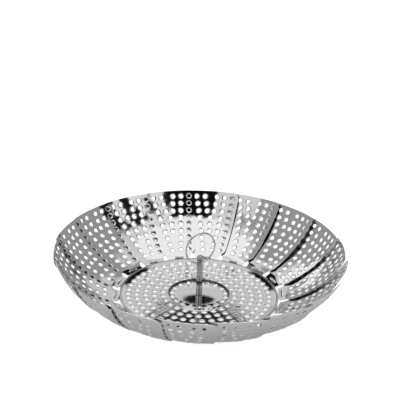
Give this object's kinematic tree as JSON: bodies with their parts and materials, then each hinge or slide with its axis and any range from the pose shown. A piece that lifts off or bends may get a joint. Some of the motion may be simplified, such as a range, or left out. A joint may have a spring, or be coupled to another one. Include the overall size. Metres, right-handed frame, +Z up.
{
  "type": "folding steamer basket",
  "caption": "Open folding steamer basket: overlapping pierced steel petals hinged round a pierced plate, with a central post, a lifting ring and folding legs.",
  "frame": {"origin": "on the table under the middle of the plate, with the three legs down", "axes": "+Z up along the post; -Y towards the picture's viewer; +X to the viewer's right"},
  "size_m": [0.2533, 0.2532, 0.0847],
  "materials": {
    "polished_steel": "polished stainless steel",
    "satin_steel": "satin stainless steel"
  },
  "bodies": {
    "base": {"base_plate": "polished_steel", "post": "polished_steel", "post_washer": "satin_steel", "post_nut": "satin_steel", "leg_bracket_1": "satin_steel", "leg_bracket_2": "satin_steel", "leg_bracket_3": "satin_steel", "leg_pin_1": "satin_steel", "leg_pin_2": "satin_steel", "leg_pin_3": "satin_steel"},
    "petal_01": {"petal_01": "polished_steel"},
    "petal_02": {"petal_02": "polished_steel"},
    "petal_03": {"petal_03": "polished_steel"},
    "petal_04": {"petal_04": "polished_steel"},
    "petal_05": {"petal_05": "polished_steel"},
    "petal_06": {"petal_06": "polished_steel"},
    "petal_07": {"petal_07": "polished_steel"},
    "petal_08": {"petal_08": "polished_steel"},
    "petal_09": {"petal_09": "polished_steel"},
    "petal_10": {"petal_10": "polished_steel"},
    "petal_11": {"petal_11": "polished_steel"},
    "petal_12": {"petal_12": "polished_steel"},
    "petal_13": {"petal_13": "polished_steel"},
    "petal_14": {"petal_14": "polished_steel"},
    "petal_15": {"petal_15": "polished_steel"},
    "petal_16": {"petal_16": "polished_steel"},
    "petal_17": {"petal_17": "polished_steel"},
    "petal_18": {"petal_18": "polished_steel"},
    "leg_1": {"leg_1": "satin_steel"},
    "leg_2": {"leg_2": "satin_steel"},
    "leg_3": {"leg_3": "satin_steel"},
    "ring_handle": {"ring_handle": "polished_steel"}
  },
  "joints": [
    {"name": "petal_01_fold", "type": "hinge", "parent": "base", "child": "petal_01", "pos_m": [0.00563, 0.07153, 0.0242], "axis": [0.9906, -0.1351, -0.0219], "range_deg": [0, 45.01]},
    {"name": "petal_02_fold", "type": "hinge", "parent": "base", "child": "petal_02", "pos_m": [0.02975, 0.06529, 0.0242], "axis": [0.8846, -0.4658, -0.0219], "range_deg": [0, 45.18]},
    {"name": "petal_03_fold", "type": "hinge", "parent": "base", "child": "petal_03", "pos_m": [0.05029, 0.05118, 0.0242], "axis": [0.672, -0.7403, -0.0219], "range_deg": [0, 45.57]},
    {"name": "petal_04_fold", "type": "hinge", "parent": "base", "child": "petal_04", "pos_m": [0.06476, 0.03089, 0.0242], "axis": [0.3783, -0.9254, -0.0219], "range_deg": [0, 46.14]},
    {"name": "petal_05_fold", "type": "hinge", "parent": "base", "child": "petal_05", "pos_m": [0.07142, 0.00688, 0.0242], "axis": [0.0389, -0.999, -0.0219], "range_deg": [0, 46.81]},
    {"name": "petal_06_fold", "type": "hinge", "parent": "base", "child": "petal_06", "pos_m": [0.06946, -0.01796, 0.0242], "axis": [-0.3051, -0.9521, -0.0219], "range_deg": [0, 47.5]},
    {"name": "petal_07_fold", "type": "hinge", "parent": "base", "child": "petal_07", "pos_m": [0.05913, -0.04064, 0.0242], "axis": [-0.6123, -0.7903, -0.0219], "range_deg": [0, 48.13]},
    {"name": "petal_08_fold", "type": "hinge", "parent": "base", "child": "petal_08", "pos_m": [0.04167, -0.05841, 0.0242], "axis": [-0.8457, -0.5332, -0.0219], "range_deg": [0, 48.63]},
    {"name": "petal_09_fold", "type": "hinge", "parent": "base", "child": "petal_09", "pos_m": [0.01917, -0.06914, 0.0242], "axis": [-0.9771, -0.2118, -0.0219], "range_deg": [0, 48.93]},
    {"name": "petal_10_fold", "type": "hinge", "parent": "base", "child": "petal_10", "pos_m": [-0.00563, -0.07153, 0.0242], "axis": [-0.9906, 0.1351, -0.0219], "range_deg": [0, 48.99]},
    {"name": "petal_11_fold", "type": "hinge", "parent": "base", "child": "petal_11", "pos_m": [-0.02975, -0.06529, 0.0242], "axis": [-0.8846, 0.4658, -0.0219], "range_deg": [0, 48.82]},
    {"name": "petal_12_fold", "type": "hinge", "parent": "base", "child": "petal_12", "pos_m": [-0.05029, -0.05118, 0.0242], "axis": [-0.672, 0.7403, -0.0219], "range_deg": [0, 48.43]},
    {"name": "petal_13_fold", "type": "hinge", "parent": "base", "child": "petal_13", "pos_m": [-0.06476, -0.03089, 0.0242], "axis": [-0.3783, 0.9254, -0.0219], "range_deg": [0, 47.86]},
    {"name": "petal_14_fold", "type": "hinge", "parent": "base", "child": "petal_14", "pos_m": [-0.07142, -0.00688, 0.0242], "axis": [-0.0389, 0.999, -0.0219], "range_deg": [0, 47.19]},
    {"name": "petal_15_fold", "type": "hinge", "parent": "base", "child": "petal_15", "pos_m": [-0.06946, 0.01796, 0.0242], "axis": [0.3051, 0.9521, -0.0219], "range_deg": [0, 46.5]},
    {"name": "petal_16_fold", "type": "hinge", "parent": "base", "child": "petal_16", "pos_m": [-0.05913, 0.04064, 0.0242], "axis": [0.6123, 0.7903, -0.0219], "range_deg": [0, 45.87]},
    {"name": "petal_17_fold", "type": "hinge", "parent": "base", "child": "petal_17", "pos_m": [-0.04167, 0.05841, 0.0242], "axis": [0.8457, 0.5332, -0.0219], "range_deg": [0, 45.37]},
    {"name": "petal_18_fold", "type": "hinge", "parent": "base", "child": "petal_18", "pos_m": [-0.01917, 0.06914, 0.0242], "axis": [0.9771, 0.2118, -0.0219], "range_deg": [0, 45.07]},
    {"name": "leg_1_fold", "type": "hinge", "parent": "base", "child": "leg_1", "pos_m": [0, 0.036, 0.0197], "axis": [-1, 0, 0], "range_deg": [0, 100]},
    {"name": "leg_2_fold", "type": "hinge", "parent": "base", "child": "leg_2", "pos_m": [0.03118, -0.018, 0.0197], "axis": [0.5, 0.866, 0], "range_deg": [0, 100]},
    {"name": "leg_3_fold", "type": "hinge", "parent": "base", "child": "leg_3", "pos_m": [-0.03118, -0.018, 0.0197], "axis": [0.5, -0.866, 0], "range_deg": [0, 100]},
    {"name": "ring_swing", "type": "hinge", "parent": "base", "child": "ring_handle", "pos_m": [0, 0, 0.0559], "axis": [0.8746, 0.4848, 0], "range_deg": [-168, 168]}
  ],
  "couplings": [
    {"joint": "petal_02_fold", "follows": "petal_01_fold", "ratio": 1.0039},
    {"joint": "petal_03_fold", "follows": "petal_01_fold", "ratio": 1.0126},
    {"joint": "petal_04_fold", "follows": "petal_01_fold", "ratio": 1.0252},
    {"joint": "petal_05_fold", "follows": "petal_01_fold", "ratio": 1.04},
    {"joint": "petal_06_fold", "follows": "petal_01_fold", "ratio": 1.0554},
    {"joint": "petal_07_fold", "follows": "petal_01_fold", "ratio": 1.0695},
    {"joint": "petal_08_fold", "follows": "petal_01_fold", "ratio": 1.0805},
    {"joint": "petal_09_fold", "follows": "petal_01_fold", "ratio": 1.0871},
    {"joint": "petal_10_fold", "follows": "petal_01_fold", "ratio": 1.0886},
    {"joint": "petal_11_fold", "follows": "petal_01_fold", "ratio": 1.0847},
    {"joint": "petal_12_fold", "follows": "petal_01_fold", "ratio": 1.076},
    {"joint": "petal_13_fold", "follows": "petal_01_fold", "ratio": 1.0634},
    {"joint": "petal_14_fold", "follows": "petal_01_fold", "ratio": 1.0486},
    {"joint": "petal_15_fold", "follows": "petal_01_fold", "ratio": 1.0332},
    {"joint": "petal_16_fold", "follows": "petal_01_fold", "ratio": 1.0191},
    {"joint": "petal_17_fold", "follows": "petal_01_fold", "ratio": 1.0081},
    {"joint": "petal_18_fold", "follows": "petal_01_fold", "ratio": 1.0015}
  ]
}
